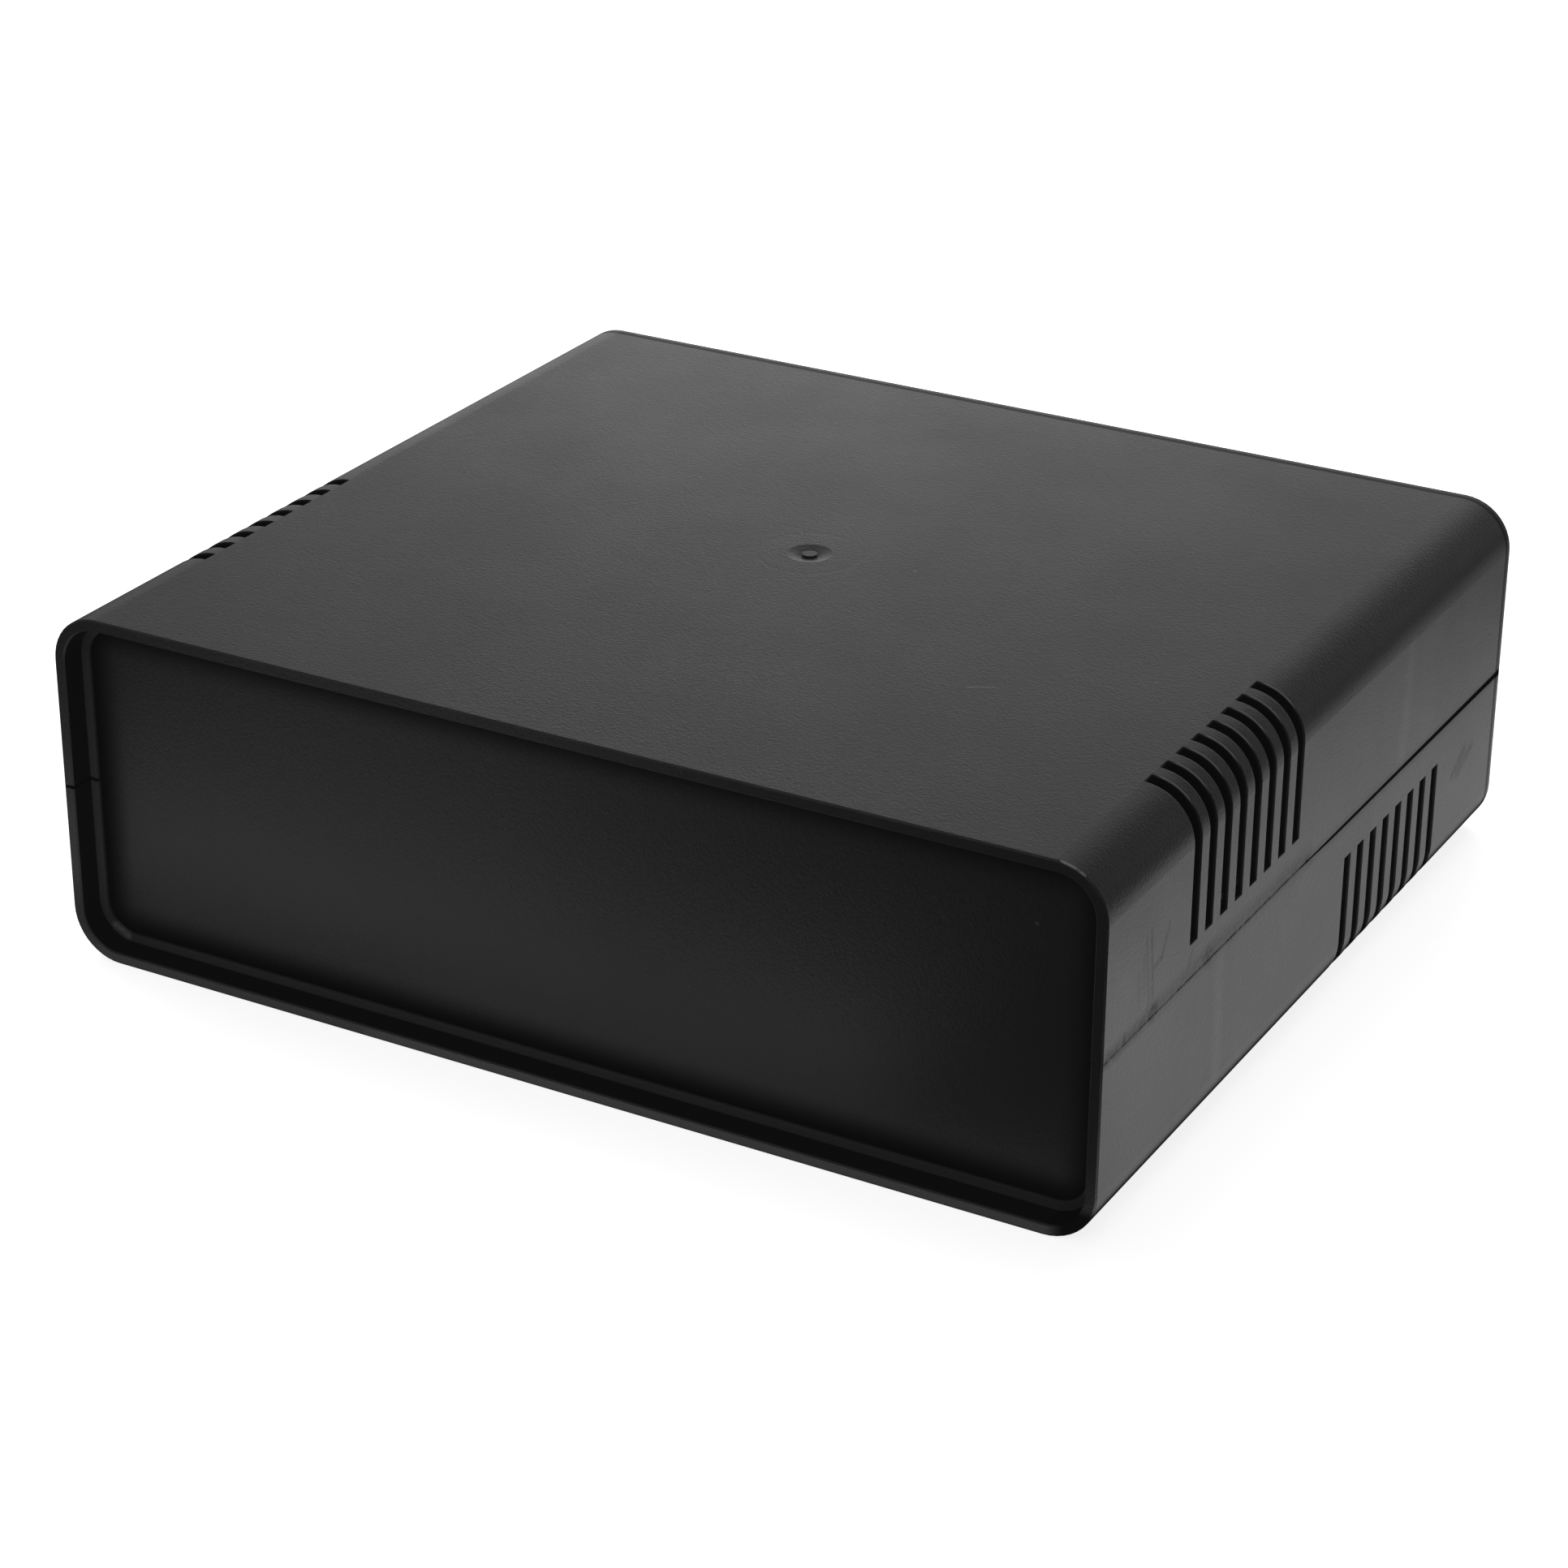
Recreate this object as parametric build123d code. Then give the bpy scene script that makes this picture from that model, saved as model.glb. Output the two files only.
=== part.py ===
"""Two-part moulded plastic instrument case with front and rear panels held in grooves.

Both shells are the same U-shaped tray. The lower one is that tray turned over about X, so its vents lie
near the rear where the upper shell's lie near the front. Units are millimetres. X runs across the front,
-Y is the front, +Z is up, and the origin is under the middle of the closed case.
"""

from build123d import *
import os

# The closed case
case_width = 206.0
case_depth = 178.0
case_height = 68.0
wall = 2.2
corner_radius = 9.5  # long outer corners, seen from the front
rim_break = 0.3  # chamfer on the edges of the end rims

# Grooves that hold the panels, the same at the front and the rear
rim_reach = 4.75  # rim face to the lip in front of a panel
lip_height = 1.7
lip_thickness = 0.9
stop_height = 3.0  # rib behind a panel
stop_thickness = 1.5
panel_thickness = 2.0
panel_slack = 0.1  # between each face of a panel and its groove
panel_gap = 0.25  # between a panel's edge and the wall that it sits in

# Wrap-round vents, one group in each side wall of each shell
slot_count = 8
slot_width = 3.1
slot_pitch = 6.08
upper_vent_foot = 6.5  # joint plane to the slots' straight ends, upper shell
lower_vent_foot = 7.3  # the same, lower shell
upper_vent_margin = 32.6  # front rim to the first slot of the upper shell
lower_vent_margin = 31.2  # rear rim to the first slot of the lower shell
bar_thickness = 1.0

# Tongues that line up the shells: each is rooted in a side wall and reaches past the joint
tongue_width = 12.0
tongue_reach = 5.8
tongue_root = 12.0
tongue_thickness = 1.2
tongue_gap = 0.2  # to the other shell's wall
tongue_lead_in = 1.3  # length of the slope on its outer face
tongue_tip = 0.4  # thickness left at its end
tongue_rib_width = 1.5
tongue_rib_height = 17.5

# Screw pillars, and the screws that come up from below
pillar_inset_x = 12.5  # outer side to the pillar's axis
pillar_inset_y = 18.5  # rim face to the pillar's axis
upper_pillar_diameter = 8.0  # takes the thread
lower_pillar_diameter = 10.0  # takes the head
gusset_thickness = 1.5
gusset_drop = 6.0  # joint plane to the gusset's free edge
screw_diameter = 3.0  # over its thread
screw_core = 2.4  # under its thread
screw_play = 0.4  # clearance hole over the screw
pilot_play = 0.1  # pilot hole over the screw's core
screw_bite = 12.0  # length of screw in the upper pillar
pilot_run_out = 2.0
seat_height = 8.0  # joint plane to the face that the head bears on
head_diameter = 5.6
head_height = 2.2
head_play = 0.9  # counterbore over the head
drive_width = 3.2
drive_slot = 0.8
drive_depth = 1.3

# Posts for a circuit board on the lower shell's floor
post_spacing_x = 150.0
post_spacing_y = 110.0
post_diameter = 6.0
post_height = 6.0
post_hole = 2.5
post_hole_depth = 5.0

# Gate mark on each shell's large face
gate_offset = 1.1  # from the middle, along Y
gate_diameter = 8.5
gate_depth = 0.45
gate_stub_diameter = 2.8
gate_stub_height = 0.4

# Along the sides only the outer part of the wall meets. The upper shell's inner edge stands off by a hairline,
# and the lower shell's inner edge falls away from the middle of the case to the rear.
joint_land = 1.0
joint_hairline = 0.12
opening_start = 79.0  # front rim to where the lower edge leaves the joint plane
opening_knee = 94.0
opening_at_knee = 0.45
opening_at_rear = 1.15

half_height = case_height / 2
inner_side = case_width / 2 - wall
ceiling = half_height - wall
vent_length = (slot_count - 1) * slot_pitch + slot_width
groove_start = rim_reach + lip_thickness
groove_width = panel_thickness + 2 * panel_slack
pillar_x = case_width / 2 - pillar_inset_x
pillar_y = case_depth / 2 - pillar_inset_y
beyond = 1.0  # how far a cutter runs past the surface that it opens
bury = wall / 2  # how far a rib, post or pillar runs into the wall that carries it


def outline(inset):
    """The case's closed section square to its depth, set in from the outside."""
    return RectangleRounded(case_width - 2 * inset, case_height - 2 * inset, corner_radius - inset)


def along_depth(section, start, length):
    """Carries a section towards the rear, from start behind the front rim."""
    plane = Plane((0, start - case_depth / 2, 0), x_dir=(1, 0, 0), z_dir=(0, -1, 0))
    return extrude(plane * section, -length)


def block(x_range, y_range, z_range):
    """A box between two values of each coordinate."""
    spans = [high - low for low, high in (x_range, y_range, z_range)]
    middles = [(low + high) / 2 for low, high in (x_range, y_range, z_range)]
    return Pos(*middles) * Box(*spans)


def upright(diameter, low, high):
    """A round form about the Z axis, from z = low to z = high."""
    return Pos(0, 0, (low + high) / 2) * Cylinder(diameter / 2, high - low)


def mirrored(form):
    """A form on the right-hand side and its mirror image on the left."""
    return [form, mirror(form, Plane.YZ)]


def at_corners(form, x, y):
    """Copies of a form at the four corners of a rectangle about the Z axis."""
    return [Pos(i * x, j * y, 0) * form for i in (-1, 1) for j in (-1, 1)]


def sleeve():
    """The wall of the whole case as one closed band, with the edges of its end rims broken."""
    band = along_depth(outline(0) - outline(wall), 0, case_depth)
    faces = band.faces().sort_by(Axis.Y)
    return chamfer([edge for rim in (faces[0], faces[-1]) for edge in rim.edges()], rim_break)


def groove_ribs():
    """The lip and the stop rib that make a panel groove at each end."""
    lip = outline(bury) - outline(wall + lip_height)
    stop = outline(bury) - outline(wall + stop_height)
    stop_start = groove_start + groove_width
    return [
        along_depth(lip, rim_reach, lip_thickness),
        along_depth(stop, stop_start, stop_thickness),
        along_depth(stop, case_depth - stop_start - stop_thickness, stop_thickness),
        along_depth(lip, case_depth - groove_start, lip_thickness),
    ]


def vent_cuts(margin, foot):
    """Cutters for the right-hand vents: the pocket that thins the wall to the bars, and the slots."""
    start = margin - case_depth / 2
    across = (case_width / 2 - corner_radius, case_width / 2 + beyond)
    upwards = (foot, half_height + beyond)
    region = block(across, (start, start + vent_length), upwards)
    pocket = region & along_depth(outline(bar_thickness), 0, case_depth)
    slot = block(across, (start, start + slot_width), upwards)
    return [pocket] + [Pos(0, n * slot_pitch, 0) * slot for n in range(slot_count)]


def tongue(other_margin):
    """A locating tongue on the right-hand wall, opposite the middle of the other shell's vents."""
    middle = case_depth / 2 - other_margin - vent_length / 2
    low, high = middle - tongue_width / 2, middle + tongue_width / 2
    face = inner_side - tongue_gap
    back = face - tongue_thickness
    section = Polygon(
        (back, -tongue_reach),
        (back + tongue_tip, -tongue_reach),
        (face, tongue_lead_in - tongue_reach),
        (face, tongue_root),
        (back, tongue_root),
        align=None,
    )
    blade = Pos(0, high, 0) * extrude(Plane.XZ * section, tongue_width)
    root = block((back, inner_side + bury), (low, high), (0, tongue_root))
    rib_along = (high, high + tongue_rib_width)
    rib = block((back, inner_side + bury), rib_along, (0, tongue_rib_height))
    return blade + root + rib


def pillars(diameter):
    """Screw pillars from the joint plane to the large face, each tied to its side wall by a gusset."""
    top = half_height - bury
    middle_gusset = (-gusset_thickness / 2, gusset_thickness / 2)
    gusset = block((0, pillar_inset_x - bury), middle_gusset, (gusset_drop, top))
    pillar = Pos(pillar_x, 0, 0) * (upright(diameter, 0, top) + gusset)
    inside = along_depth(outline(bury), 0, case_depth)
    return [form for y in (-pillar_y, pillar_y) for form in mirrored(Pos(0, y, 0) * pillar & inside)]


def tray(margin, foot, other_margin, pillar_diameter):
    """A shell with its joint plane at z = 0 and its large face up at z = half_height."""
    upper_half = block((-case_width, case_width), (-case_depth, case_depth), (0, case_height))
    shell = sleeve()
    for rib in groove_ribs():
        shell += rib
    shell &= upper_half
    for cutter in vent_cuts(margin, foot):
        for form in mirrored(cutter):
            shell -= form
    for form in mirrored(tongue(other_margin)) + pillars(pillar_diameter):
        shell += form
    gate_bottom = half_height - gate_depth
    gate_radius = (gate_diameter**2 / 4 + gate_depth**2) / (2 * gate_depth)
    shell -= Pos(0, gate_offset, gate_bottom + gate_radius) * Sphere(gate_radius)
    stub = upright(gate_stub_diameter, half_height - bury, gate_bottom + gate_stub_height)
    return shell + Pos(0, gate_offset, 0) * stub


def joint_relief(profile):
    """Cutter that takes back the inner edge of the right-hand joint, its depth given at points along Y."""
    ends = [(profile[-1][0], -beyond), (profile[0][0], -beyond)]
    strip = extrude(Plane.YZ * Polygon(*profile, *ends, align=None), wall)
    return Pos(inner_side + joint_land, 0, 0) * strip


def upper_shell():
    """The tray with blind pilot holes for the screws."""
    shell = tray(upper_vent_margin, upper_vent_foot, lower_vent_margin, upper_pillar_diameter)
    pilot = upright(screw_core + pilot_play, -beyond, screw_bite + pilot_run_out)
    for hole in at_corners(pilot, pillar_x, pillar_y):
        shell -= hole
    end = case_depth / 2
    for strip in mirrored(joint_relief([(-end, joint_hairline), (end, joint_hairline)])):
        shell -= strip
    return Pos(0, 0, half_height) * shell


def lower_shell():
    """The tray turned over, with counterbored screw holes and the posts for a circuit board."""
    shell = tray(lower_vent_margin, lower_vent_foot, upper_vent_margin, lower_pillar_diameter)
    hole = upright(screw_diameter + screw_play, -beyond, half_height + beyond)
    counterbore = upright(head_diameter + head_play, seat_height, half_height + beyond)
    for cutter in at_corners(hole + counterbore, pillar_x, pillar_y):
        shell -= cutter
    post_end = ceiling - post_height
    post = upright(post_diameter, post_end, ceiling + bury)
    post -= upright(post_hole, post_end - beyond, post_end + post_hole_depth)
    for form in at_corners(post, post_spacing_x / 2, post_spacing_y / 2):
        shell += form
    front_rim = case_depth / 2
    opening = [
        (-front_rim, opening_at_rear),
        (front_rim - opening_knee, opening_at_knee),
        (front_rim - opening_start, 0),
    ]
    for strip in mirrored(joint_relief(opening)):
        shell -= strip
    return Pos(0, 0, half_height) * Rot(180, 0, 0) * shell


def panel(start):
    """A flat panel with rounded corners, its front face at start behind the front rim."""
    return Pos(0, 0, half_height) * along_depth(outline(wall + panel_gap), start, panel_thickness)


def screw():
    """A cross-recessed screw standing on its head, seated in the lower shell. Its thread is left out."""
    bearing = half_height - seat_height
    under_head = bearing - head_height
    form = upright(head_diameter, under_head, bearing)
    form += upright(screw_core, bearing, half_height + screw_bite)
    slot = Pos(0, 0, under_head) * Box(drive_width, drive_slot, 2 * drive_depth)
    for angle in (0, 90):
        form -= Rot(0, 0, angle) * slot
    return form


front_panel_start = groove_start + panel_slack
parts = {
    "upper_shell": upper_shell(),
    "lower_shell": lower_shell(),
    "front_panel": panel(front_panel_start),
    "rear_panel": panel(case_depth - front_panel_start - panel_thickness),
}
for end, y in (("front", -pillar_y), ("rear", pillar_y)):
    for side, x in (("left", -pillar_x), ("right", pillar_x)):
        parts[f"screw_{end}_{side}"] = Pos(x, y, 0) * screw()

os.makedirs("parts", exist_ok=True)
for name, form in parts.items():
    export_step(form, f"parts/{name}.step")
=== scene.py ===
import bpy
from math import cos, pi, radians, sin
from mathutils import Matrix, Vector


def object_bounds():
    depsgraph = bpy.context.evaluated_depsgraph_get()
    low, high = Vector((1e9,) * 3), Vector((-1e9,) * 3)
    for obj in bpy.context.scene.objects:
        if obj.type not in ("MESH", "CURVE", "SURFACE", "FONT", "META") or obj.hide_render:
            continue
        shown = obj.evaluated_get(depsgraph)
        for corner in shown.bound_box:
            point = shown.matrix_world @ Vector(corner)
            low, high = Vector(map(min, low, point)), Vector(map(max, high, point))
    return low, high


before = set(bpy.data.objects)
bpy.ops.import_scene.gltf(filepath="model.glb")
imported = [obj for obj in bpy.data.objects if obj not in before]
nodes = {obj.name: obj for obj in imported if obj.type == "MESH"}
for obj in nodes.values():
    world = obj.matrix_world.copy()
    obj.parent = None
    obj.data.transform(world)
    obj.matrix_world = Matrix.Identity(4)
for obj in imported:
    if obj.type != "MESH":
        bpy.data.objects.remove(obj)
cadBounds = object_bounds()
scene = bpy.context.scene
print("frame loaded:", len(nodes), "nodes")


# Shader building. A Graph adds nodes to a material or world and links them by socket name.

class Graph:
    def __init__(self, owner):
        owner.use_nodes = True
        self.tree = owner.node_tree
        self.tree.nodes.clear()

    def add(self, kind, settings=None, **inputs):
        node = self.tree.nodes.new("ShaderNode" + kind)
        for name, value in (settings or {}).items():
            setattr(node, name, value)
        for name, value in inputs.items():
            self.plug(node, name, value)
        return node

    def plug(self, node, name, value):
        socket = node.inputs[int(name[1:])] if name[1:].isdigit() else node.inputs[name.replace("_", " ")]
        if isinstance(value, bpy.types.NodeSocket):
            self.tree.links.new(value, socket)
        else:
            socket.default_value = value

    def math(self, operation, *values, clamp=False):
        node = self.add("Math", {"operation": operation, "use_clamp": clamp})
        for index, value in enumerate(values):
            self.plug(node, f"i{index}", value)
        return node.outputs[0]

    def times(self, *values):
        result = values[0]
        for value in values[1:]:
            result = self.math("MULTIPLY", result, value)
        return result

    def plus(self, *values):
        result = values[0]
        for value in values[1:]:
            result = self.math("ADD", result, value)
        return result

    def absolute(self, value):
        return self.math("ABSOLUTE", value)

    def ramp(self, value, low, high, fromLow=0.0, fromHigh=1.0):  # smooth step between two levels
        node = self.add("MapRange", {"interpolation_type": "SMOOTHSTEP"})
        for index, number in enumerate((value, fromLow, fromHigh, low, high)):
            self.plug(node, f"i{index}", number)
        return node.outputs[0]

    def rise(self, value, low, high):
        return self.ramp(value, 0.0, 1.0, low, high)

    def fall(self, value, low, high):
        return self.ramp(value, 1.0, 0.0, low, high)

    def share(self, value, fromLow, fromHigh, most):  # straight line from nothing to the most
        return self.add("MapRange", i0=value, i1=fromLow, i2=fromHigh, i3=0.0, i4=most).outputs[0]

    def mix(self, factor, first, second):  # of two numbers
        return self.add("Mix", {"data_type": "FLOAT"}, i0=factor, i2=first, i3=second).outputs[0]

    def blend(self, factor, first, second):  # of two colours
        return self.add("Mix", {"data_type": "RGBA"}, i0=factor, i6=first, i7=second).outputs[2]

    def noise(self, vector, scale, detail=2.0, roughness=0.5):
        node = self.add("TexNoise", Vector=vector, Scale=scale, Detail=detail, Roughness=roughness)
        return node.outputs["Fac"]

    def vector(self, operation, *values, output="Vector"):
        node = self.add("VectorMath", {"operation": operation})
        for index, value in enumerate(values):
            self.plug(node, f"i{index}", value)
        return node.outputs[output]

    def band(self, value, low, high, soft):  # one between two levels, falling to nothing over a soft edge
        return self.times(self.rise(value, low - soft, low), self.fall(value, high, high + soft))

    def stroke(self, place, start, end, halfWidth):
        # distance = |p - a - h (b - a)|, with h = (p - a).(b - a) / |b - a|^2 held between 0 and 1
        along = Vector(end) - Vector(start)
        fromStart = self.vector("SUBTRACT", place, start)
        share = self.vector("DOT_PRODUCT", fromStart, along / along.length_squared, output="Value")
        nearest = self.add("VectorMath", {"operation": "SCALE"}, i0=tuple(along))
        self.plug(nearest, "Scale", self.math("MULTIPLY", share, 1.0, clamp=True))
        distance = self.vector("DISTANCE", fromStart, nearest.outputs["Vector"], output="Value")
        return self.fall(distance, 0.0, halfWidth)


def newMaterial(name):
    material = bpy.data.materials.new(name)
    return material, Graph(material)


def dress(material, *names):  # gives a CAD node this finish
    for name in names:
        for slot in nodes[name].material_slots:
            slot.material = material


# Moulded black plastic with a fine spark-eroded grain. Lengths are in metres, from the middle of the base.

caseLook = {"halfWidth": 0.103, "middle": 0.034, "halfHeight": 0.034, "corner": 0.0095}


def depthInside(graph, x, z, look):  # how far under the case's rounded outline
    # depth = r - |max(q, 0)| - min(max(qx, qz), 0), with q = (|x|, |z - middle|) - half sizes + r
    across = graph.math("SUBTRACT", graph.absolute(x), look["halfWidth"] - look["corner"])
    height = graph.absolute(graph.math("SUBTRACT", z, look["middle"]))
    upward = graph.math("SUBTRACT", height, look["halfHeight"] - look["corner"])
    squares = [graph.math("POWER", graph.math("MAXIMUM", part, 0.0), 2.0) for part in (across, upward)]
    outer = graph.math("SQRT", graph.plus(*squares))
    inner = graph.math("MINIMUM", graph.math("MAXIMUM", across, upward), 0.0)
    return graph.math("SUBTRACT", look["corner"], graph.plus(outer, inner))


jointLook = {
    "plane": 0.034,
    "above": 0.00013,  # how far it reaches over the plane
    "start": -0.010,  # where it begins to open under the plane
    "knee": 0.005,
    "rear": 0.089,
    "atKnee": 0.00045,
    "atRear": 0.001,
    "soft": 0.0001,
    "side": (0.1025, 0.1027),  # only on the outside of the side walls
    "begins": (-0.012, -0.002),
    "closed": 0.1,  # darkness where the shells meet, as a share of the rest
    "strength": 3.0,
}


def jointGap(graph, x, y, z, look):
    # the dark opening between the shells, from plane + above down to plane - drop, where
    # drop = atKnee (y - start) / (knee - start) + (atRear - atKnee) (y - knee) / (rear - knee),
    # each share held in 0 to 1
    first = graph.share(y, look["start"], look["knee"], look["atKnee"])
    rest = graph.share(y, look["knee"], look["rear"], look["atRear"] - look["atKnee"])
    height = graph.math("SUBTRACT", z, look["plane"])
    overBottom = graph.rise(graph.plus(height, first, rest), -look["soft"], look["soft"])
    underTop = graph.fall(height, look["above"] - look["soft"], look["above"] + look["soft"])
    opened = graph.ramp(y, look["closed"], 1.0, *look["begins"])
    side = graph.rise(graph.absolute(x), *look["side"])
    return graph.times(overBottom, underTop, side, opened, look["strength"])


# Where shade is painted on the shells: on the recesses' inner walls, inside the slots and the case, in a band
# along the rear edge and along the foot of the right side wall
shadeLook = {
    "recess": (0.0843, 0.0887),  # along the depth of the case
    "recessDepth": (0.00205, 0.00215),  # under the outline
    "recessSoft": 0.0001,
    "recessStrength": 0.8,
    "inside": (0.0825, 0.083),
    "insideDepth": (0.0002, 0.0006),
    "rear": (0.0868, 0.0875),
    "rearSoft": 0.0005,
    "rearStrength": 0.6,
    "foot": (0.0054, 0.0078),  # height
    "footSide": (0.0935, 0.0975),
}


def shellShadeAndJoint(graph, x, y, z):  # painted shade in the recesses, inside, along the rear edge and along the foot, and the dark opening in the joint
    look = shadeLook
    depth = depthInside(graph, x, z, caseLook)
    fromMiddle = graph.absolute(y)
    recess = graph.times(graph.band(fromMiddle, *look["recess"], look["recessSoft"]),
                         graph.rise(depth, *look["recessDepth"]), look["recessStrength"])
    inside = graph.times(graph.rise(depth, *look["insideDepth"]), graph.fall(fromMiddle, *look["inside"]))
    rear = graph.times(graph.band(y, *look["rear"], look["rearSoft"]), look["rearStrength"])
    foot = graph.times(graph.fall(z, *look["foot"]), graph.rise(x, *look["footSide"]))
    return graph.plus(recess, inside, rear, foot, jointGap(graph, x, y, z, jointLook))


lipLook = {
    "front": (0.0838, 0.08428),
    "soft": 0.00004,
    "depth": (0.00225, 0.0024),
    "joint": 0.0338,
    "clear": (0.00015, 0.0005),  # the painted highlight stops short of the joint
    "strength": 0.14,
}
# Where a highlight is painted along the front edge of each vent bar, on the bend
ventLook = {
    "firstBar": -0.0533,
    "pitch": 0.00608,
    "bars": 8,
    "edge": 0.00028,
    "side": (0.0958, 0.0995),  # on the bend, from the top to the side wall
    "sideSoft": 0.002,
    "height": (0.058, 0.063),
    "depth": (0.00015, 0.0003),
    "strength": 1.1,
}


def lipPaintedHighlight(graph, y, z, depth, look):  # painted highlight on the front of the lip round each panel
    front = graph.band(graph.absolute(y), *look["front"], look["soft"])
    clear = graph.rise(graph.absolute(graph.math("SUBTRACT", z, look["joint"])), *look["clear"])
    return graph.times(front, graph.rise(depth, *look["depth"]), clear, look["strength"])


# painted highlight along each bar's front edge on the bend of the vents
def barPaintedHighlight(graph, x, y, z, depth, look):
    # t = (y - first bar) / pitch, and a bar's front edge is where t - floor(t) is under edge / pitch
    t = graph.math("DIVIDE", graph.math("SUBTRACT", y, look["firstBar"]), look["pitch"])
    edge = graph.fall(graph.math("FRACT", graph.plus(t, 0.001)), 0.0, look["edge"] / look["pitch"])
    among = graph.band(t, 0.0, look["bars"] - 0.5, 0.01)
    bend = graph.times(graph.band(x, *look["side"], look["sideSoft"]), graph.rise(z, *look["height"]))
    return graph.times(edge, among, bend, graph.fall(depth, *look["depth"]), look["strength"])


# painted highlights: the lip's front and the vent bars' front edges made paler
def shellPaintedHighlights(graph, x, y, z):
    depth = depthInside(graph, x, z, caseLook)
    return graph.plus(lipPaintedHighlight(graph, y, z, depth, lipLook), barPaintedHighlight(graph, x, y, z, depth, ventLook))


shellLook = {
    "colour": (0.022, 0.022, 0.0225, 1),
    "pale": (0.4, 0.4, 0.396, 1),  # scuffs, dust and painted highlights
    "dark": (0.004, 0.004, 0.004, 1),  # soiling, the joint's opening and painted shade
    "roughness": 0.4,
    "roughnessSpread": 0.02,  # cloudiness
    "cloudScale": 32.0,  # per metre, as are the other scales
    "darkRoughness": 0.6,
    "patchScale": 900.0,  # breaks up the marks
    "grainScale": 1800.0,
    "grainDepth": 0.00017,
    "gloss": 0.5,
    "gate": (0, 0.0011, 0.068),
    "flowRing": 0.0096,
    "flowRingWidth": 0.0002,
    "flowRingSoft": 0.0006,
    "flowRingDepth": 0.00002,
}

# Each mark has its two ends, its half width and how pale it is, below nothing for a dark one.
shellMarks = [
    ((0.0519, -0.0377, 0.068), (0.0561, -0.0353, 0.068), 0.00022, 0.4),
    ((0.0205, 0.0031, 0.068), (0.0207, 0.0032, 0.068), 0.00045, 0.28),
    ((-0.0365, 0.0240, 0.068), (-0.0363, 0.0241, 0.068), 0.00045, 0.2),
    ((0.0790, -0.0199, 0.068), (0.0791, -0.0199, 0.068), 0.00045, 0.32),
    ((-0.0108, -0.0607, 0.068), (-0.0107, -0.0607, 0.068), 0.0004, 0.2),
    ((0.103, -0.0720, 0.0504), (0.103, -0.0706, 0.0375), 0.0007, -0.3),
    ((0.103, -0.0739, 0.0500), (0.103, -0.0720, 0.0370), 0.0007, -0.22),
    ((0.103, -0.0746, 0.0470), (0.103, -0.0740, 0.0400), 0.0008, -0.13),
    ((0.103, -0.0763, 0.0442), (0.103, -0.0758, 0.0380), 0.0009, -0.13),
    ((0.103, -0.0650, 0.0484), (0.103, -0.0676, 0.0437), 0.001, -0.25),
    ((0.103, -0.0676, 0.0437), (0.103, -0.0703, 0.0429), 0.0009, -0.25),
    ((0.103, -0.0813, 0.0362), (0.103, -0.0808, 0.0345), 0.0006, -0.35),
    ((0.103, -0.0880, 0.0342), (0.103, -0.0700, 0.0348), 0.0027, -0.42),
    ((0.103, -0.0700, 0.0348), (0.103, -0.0480, 0.0352), 0.0031, -0.27),
    ((0.103, -0.0480, 0.0352), (0.103, -0.0060, 0.0350), 0.0035, -0.27),
    ((0.103, -0.0890, 0.0339), (0.103, -0.0600, 0.0341), 0.0004, -0.35),
    ((0.103, -0.0600, 0.0341), (0.103, -0.0060, 0.0342), 0.0005, -0.55),
    ((0.103, -0.0540, 0.0430), (0.103, -0.0560, 0.0370), 0.0012, -0.14),
    ((0.103, -0.0060, 0.0339), (0.103, 0.0890, 0.0335), 0.0022, -0.25),
    ((0.103, 0.0722, 0.0240), (0.103, 0.0662, 0.0205), 0.0017, -0.3),
    ((0.103, 0.0762, 0.0232), (0.103, 0.0692, 0.0200), 0.0018, -0.27),
    ((0.103, -0.0430, 0.0330), (0.103, -0.0424, 0.0105), 0.0034, 0.08),
    ((0.103, 0.0394, 0.0568), (0.103, 0.0376, 0.0362), 0.0036, 0.09),
    ((0.103, 0.0270, 0.0320), (0.103, 0.0250, 0.0220), 0.003, 0.04),
    # a painted highlight: the lit top of a tab inside the case, seen through two slots
    ((0.1001, -0.0385, 0.0392), (0.1001, -0.0295, 0.0392), 0.0016, 1.6),
    # a painted highlight: a light spot on the lower left corner of the lip
    ((-0.0974, -0.0842, 0.0047), (-0.0948, -0.0842, 0.0034), 0.0013, 0.5),
    # painted highlights: a glint along the top right corner of the front rim's edge
    ((0.0944, -0.0888, 0.0680), (0.0968, -0.0888, 0.0674), 0.00035, 1.4),
    ((0.0968, -0.0888, 0.0674), (0.0986, -0.0888, 0.0665), 0.00035, 1.0),
    ((-0.0968, -0.0842, 0.0628), (-0.0967, -0.0842, 0.0628), 0.0004, 0.8),
    ((-0.1029, -0.089, 0.0338), (-0.1008, -0.089, 0.0338), 0.0005, -1.6),
    ((-0.1008, -0.089, 0.0338), (-0.1008, -0.0843, 0.0338), 0.0005, -1.6),
    ((-0.1008, -0.0842, 0.0338), (-0.0991, -0.0842, 0.0338), 0.0005, -1.6),
]


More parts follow.
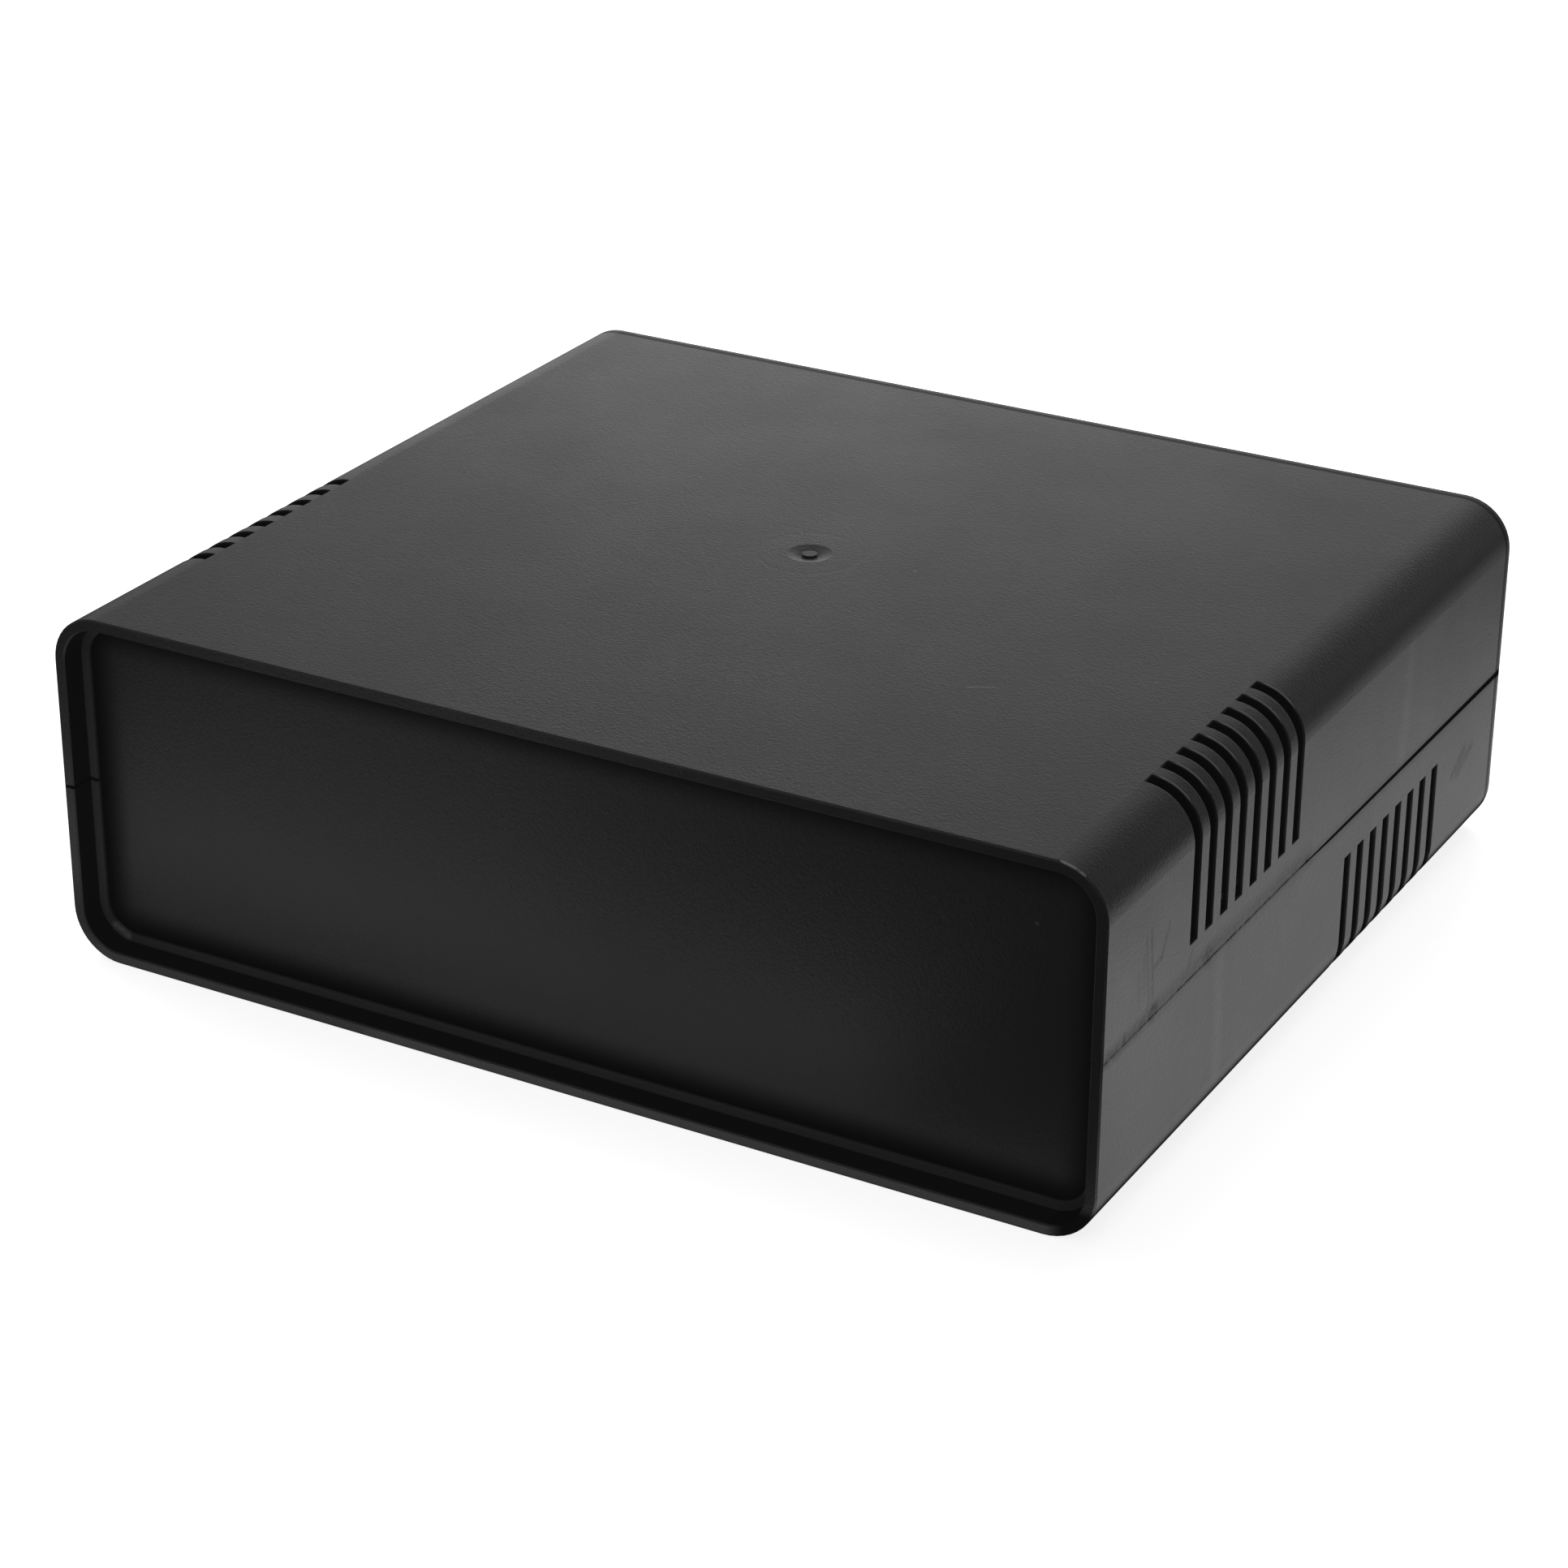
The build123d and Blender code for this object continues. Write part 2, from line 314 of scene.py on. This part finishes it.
def plastic(name, look, marks, darkening, paintedHighlights=None, radius=None):
    material, graph = newMaterial(name)
    place = graph.add("TexCoord").outputs["Object"]
    x, y, z = graph.add("SeparateXYZ", Vector=place).outputs
    height = graph.noise(place, look["grainScale"], 3.0, 0.6)
    cloud = graph.noise(place, look["cloudScale"], 5.0, 0.6)
    patchy = graph.ramp(graph.noise(place, look["patchScale"], 3.0, 0.6), 0.55, 1.0, 0.35, 0.6)
    smooth, rough = look["roughness"] - look["roughnessSpread"], look["roughness"] + look["roughnessSpread"]
    roughness = graph.ramp(cloud, smooth, rough, 0.3, 0.7)
    pales = [graph.times(graph.stroke(place, *mark[:3]), mark[3]) for mark in marks if mark[3] > 0]
    darks = [graph.times(graph.stroke(place, *mark[:3]), -mark[3]) for mark in marks if mark[3] < 0]
    if "gate" in look:
        # a shallow groove round the gate, at r = |p - gate|
        ring = graph.vector("DISTANCE", place, look["gate"], output="Value")
        inner, outer = look["flowRing"] - look["flowRingWidth"], look["flowRing"] + look["flowRingWidth"]
        groove = graph.band(ring, inner, outer, look["flowRingSoft"])
        height = graph.math("SUBTRACT", height, graph.times(groove, look["flowRingDepth"] / look["grainDepth"]))
    # painted shade, and on the shells also the joint's dark opening
    dark = darkening(graph, x, y, z)
    if darks:
        dark = graph.plus(dark, graph.times(graph.plus(*darks), patchy))
    dark = graph.math("MULTIPLY", dark, 1.0, clamp=True)
    colour = graph.blend(dark, look["colour"], look["dark"])
    pale = graph.times(graph.plus(*pales), patchy)
    # painted highlights laid over the colour together with the scuffs and dust
    if paintedHighlights:
        pale = graph.math("ADD", pale, paintedHighlights(graph, x, y, z), clamp=True)
    colour = graph.blend(pale, colour, look["pale"])
    shine = graph.times(graph.math("SUBTRACT", 1.0, dark), look["gloss"])  # none on soiling, in gaps and on painted shade
    roughness = graph.mix(dark, roughness, look["darkRoughness"])
    edge = graph.add("Bevel", {"samples": 4}, Radius=radius(graph, x, y, z) if radius else look["edgeRadius"])
    bump = graph.add("Bump", Strength=0.6, Distance=look["grainDepth"], Height=height,
                     Normal=edge.outputs["Normal"])
    skin = graph.add("BsdfPrincipled", Base_Color=colour, Roughness=roughness, Specular_IOR_Level=shine,
                     Normal=bump.outputs["Normal"])
    graph.add("OutputMaterial", Surface=skin.outputs[0])
    return material


edgeLook = {
    "radius": 0.00022,
    "rimRadius": 0.00002,
    "barRadius": 0.0003,
    "footRadius": 0.0007,
    "rim": (0.0835, 0.0842),  # along the depth of the case
    "barSide": (0.0925, 0.0935),
    "bars": (-0.0565, -0.004),
    "barSoft": 0.002,
    "foot": (0.0008, 0.0012),
    "footSide": (0.1015, 0.102),
}


def shellEdges(graph, x, y, z):  # crisp at both rims, broad on the bars of the vents and along the foot
    look = edgeLook
    low = graph.times(graph.fall(z, *look["foot"]), graph.rise(x, *look["footSide"]))
    bar = graph.times(graph.rise(x, *look["barSide"]), graph.band(y, *look["bars"], look["barSoft"]))
    foot = graph.mix(low, look["radius"], look["footRadius"])
    crisp = graph.mix(graph.rise(graph.absolute(y), *look["rim"]), foot, look["rimRadius"])
    return graph.mix(bar, crisp, look["barRadius"])


shellPlastic = plastic("black shell plastic", shellLook, shellMarks, shellShadeAndJoint, shellPaintedHighlights, shellEdges)
dress(shellPlastic, "upper_shell", "lower_shell")

panelLook = {
    "colour": (0.018, 0.018, 0.0185, 1),
    "pale": (0.4, 0.4, 0.396, 1),
    "dark": (0.004, 0.004, 0.004, 1),
    "roughness": 0.45,
    "roughnessSpread": 0.015,
    "cloudScale": 32.0,
    "darkRoughness": 0.6,
    "patchScale": 900.0,
    "grainScale": 2000.0,
    "grainDepth": 0.00012,
    "gloss": 0.5,
    "edgeRadius": 0.0002,
    "border": (0.0034, 0.0105),  # under the outline, where the painted shade thins out
}
panelMarks = [
    ((0.0880, -0.0832, 0.0529), (0.0881, -0.0832, 0.0529), 0.0006, 0.3),
    ((0.0711, -0.0832, 0.0640), (0.0712, -0.0832, 0.0640), 0.0006, 0.2),
]


def panelBorderShade(graph, x, y, z):  # painted shade towards the panel's edges
    return graph.fall(depthInside(graph, x, z, caseLook), *panelLook["border"])


dress(plastic("black panel plastic", panelLook, panelMarks, panelBorderShade), "front_panel", "rear_panel")

screwLook = {"colour": (0.5, 0.5, 0.51, 1), "smooth": 0.28, "rough": 0.4375, "mottleScale": 4000.0}


def plated(name, look):
    material, graph = newMaterial(name)
    mottle = graph.noise(graph.add("TexCoord").outputs["Object"], look["mottleScale"], 2.0, 0.5)
    roughness = graph.ramp(mottle, look["smooth"], look["rough"], 0.3, 0.7)
    skin = graph.add("BsdfPrincipled", Base_Color=look["colour"], Metallic=1.0, Roughness=roughness)
    graph.add("OutputMaterial", Surface=skin.outputs[0])
    return material


dress(plated("zinc plating", screwLook), *[name for name in nodes if name.startswith("screw")])
print("materials done")


# Floor, light and camera

floorLook = {
    "halfWidth": 6.0,
    "colour": (0.85, 0.85, 0.85, 1),
    "glow": 0.98,  # lifts the floor to paper white
    "bounce": (0.04, 0.04, 0.04, 1),  # how bright the object sees it
    "underWidth": (0.0963, 0.0969),  # the glow stops under the case
    "underDepth": (0.0865, 0.0875),
}


def makeFloor(look):
    half = look["halfWidth"]
    mesh = bpy.data.meshes.new("floor")
    corners = [(-half, -half, 0), (half, -half, 0), (half, half, 0), (-half, half, 0)]
    mesh.from_pydata(corners, [], [(0, 1, 2, 3)])
    floor = bpy.data.objects.new("floor", mesh)
    scene.collection.objects.link(floor)
    material, graph = newMaterial("pale floor")
    paper = graph.add("BsdfDiffuse", Color=look["colour"])
    glow = graph.add("Emission", Color=look["colour"], Strength=look["glow"])
    seen = graph.add("AddShader", i0=paper.outputs[0], i1=glow.outputs[0])
    x, y, z = graph.add("SeparateXYZ", Vector=graph.add("TexCoord").outputs["Object"]).outputs
    under = graph.times(graph.fall(graph.absolute(x), *look["underWidth"]),
                        graph.fall(graph.absolute(y), *look["underDepth"]))
    dim = graph.add("BsdfDiffuse", Color=look["bounce"])
    direct = graph.add("LightPath").outputs["Is Camera Ray"]
    bare = graph.times(direct, graph.math("SUBTRACT", 1.0, under))
    skin = graph.add("MixShader", i0=bare, i1=dim.outputs[0], i2=seen.outputs[0])
    graph.add("OutputMaterial", Surface=skin.outputs[0])
    mesh.materials.append(material)
    return floor


floor = makeFloor(floorLook)
paperOnly = bpy.data.collections.new("paper only")  # what the paper light reaches
paperOnly.objects.link(floor)

worldLook = {"seen": 1.0, "ambient": 0.14}  # its strength to the camera and to everything else


def makeWorld(look):
    world = bpy.data.worlds.new("studio")
    scene.world = world
    graph = Graph(world)
    direct = graph.add("LightPath").outputs["Is Camera Ray"]
    strength = graph.ramp(direct, look["ambient"], look["seen"])
    sky = graph.add("Background", Color=(1, 1, 1, 1), Strength=strength)
    graph.add("OutputWorld", Surface=sky.outputs[0])


makeWorld(worldLook)

# Each light is a soft rectangle: its middle, the point that it faces, its two sides in metres and its radiance.
# The bands stand behind the case on the left, the boxes hang further off and the cards lie on the floor.

def wallBand(x, z, width, radiance, y=0.35, height=0.08):
    return {"at": (x, y, z), "to": (x, -1, z), "size": (width, height), "radiance": radiance}


def hungBox(at, width, height, radiance):
    return {"at": at, "to": (0, 0, 0.05), "size": (width, height), "radiance": radiance}


def floorCard(x, y, width, depth, radiance, height=0.0008):
    return {"at": (x, y, height), "to": (x, y, 1), "size": (width, depth), "radiance": radiance}


lights = {
    "bandFarLeft": wallBand(-0.475, 0.12, 0.15, 1.15),
    "bandLeft": wallBand(-0.34, 0.12, 0.12, 1.88),
    "bandMiddle": wallBand(-0.22, 0.12, 0.12, 2.19),
    "bandRight": wallBand(-0.1, 0.12, 0.12, 1.57),
    "bandEnd": wallBand(0.03, 0.12, 0.14, 0.95),
    "bandHigh": wallBand(-0.35, 0.2, 0.5, 0.285),
    "backLowBox": hungBox((0, 1.477, 0.26), 0.6, 0.35, 0.82),
    "backHighBox": hungBox((-0.194, 1.098, 1.004), 0.6, 0.4, 0.774),
    "backRightBox": hungBox((0.628, 1.346, 0.209), 0.6, 0.35, 0.36),
    "highBox": hungBox((-0.87, 0.24, 1.2), 0.6, 0.6, 3.0),
    "frontLamp": hungBox((0.38, -0.89, 1.15), 0.3, 0.3, 3.0),
    "rightCard": floorCard(0.1245, 0.04, 0.041, 0.29, 0.908),
    "rightFrontCard": floorCard(0.1725, -0.03, 0.055, 0.06, 1.67),
    "rightMiddleCard": floorCard(0.1725, 0.03, 0.055, 0.06, 0.69),
    "rightRearCard": floorCard(0.1725, 0.09, 0.055, 0.06, 0.94),
    "rightLastCard": floorCard(0.1725, 0.16, 0.055, 0.08, 0.15),
    "rightEndCard": floorCard(0.18, 0.285, 0.15, 0.2, 0.406),
    "rimLeftCard": floorCard(-0.076, -0.09245, 0.072, 0.0063, 0.47, height=0.0001),
    "rimMiddleCard": floorCard(-0.005, -0.09245, 0.07, 0.0063, 0.63, height=0.0001),
    "rimRightCard": floorCard(0.071, -0.09245, 0.082, 0.0063, 0.6, height=0.0001),
    "frontLeftCard": floorCard(-0.055, -0.1175, 0.21, 0.025, 0.813),
    "frontOutCard": floorCard(-0.1, -0.165, 0.12, 0.07, 0.377),
    "backCard": floorCard(-0.1, 0.22, 0.41, 0.25, 0.2),
    "paperLight": {"at": (-0.5, 0.7, 1.5), "to": (0, 0, 0), "size": (1.6, 1.6), "radiance": 1.0,
                   "only": paperOnly},
}


def makeLight(name, look):
    data = bpy.data.lights.new(name, "AREA")
    data.shape = "RECTANGLE"
    data.size, data.size_y = look["size"]
    data.energy = look["radiance"] * pi * data.size * data.size_y
    light = bpy.data.objects.new(name, data)
    light.location = look["at"]
    aim = Vector(look["to"]) - Vector(look["at"])
    light.rotation_euler = aim.to_track_quat("-Z", "Y").to_euler()
    light.visible_camera = False
    if "only" in look:
        light.light_linking.receiver_collection = look["only"]
    scene.collection.objects.link(light)


for name, look in lights.items():
    makeLight(name, look)

cameraLook = {
    "azimuth": 29.191,
    "elevation": 25.583,
    "roll": 0.325,
    "distance": 0.75714,
    "moveRight": -0.00391,
    "moveUp": -0.01105,
    "lens": 93.53,
    "sensor": 36.0,
    "clip": (0.05, 20),
}


def makeCamera(look):
    azimuth, elevation, roll = (radians(look[name]) for name in ("azimuth", "elevation", "roll"))
    back = Vector((sin(azimuth) * cos(elevation), -cos(azimuth) * cos(elevation), sin(elevation)))
    right = (-back).cross(Vector((0, 0, 1))).normalized()
    up = back.cross(right)
    centre = (Vector(cadBounds[0]) + Vector(cadBounds[1])) / 2
    place = centre + back * look["distance"] + right * look["moveRight"] + up * look["moveUp"]
    turned = Matrix((right, up, back)).transposed().to_4x4() @ Matrix.Rotation(roll, 4, "Z")
    data = bpy.data.cameras.new("camera")
    data.lens, data.sensor_width, data.sensor_fit = look["lens"], look["sensor"], "HORIZONTAL"
    data.clip_start, data.clip_end = look["clip"]
    camera = bpy.data.objects.new("camera", data)
    camera.matrix_world = Matrix.Translation(place) @ turned
    scene.collection.objects.link(camera)
    scene.camera = camera


makeCamera(cameraLook)
scene.view_settings.view_transform = "Standard"
scene.view_settings.use_curve_mapping = True
scene.view_settings.curve_mapping.black_level = (-0.003, -0.003, -0.003)  # a little haze in the blacks
print("stage, lights and camera done")
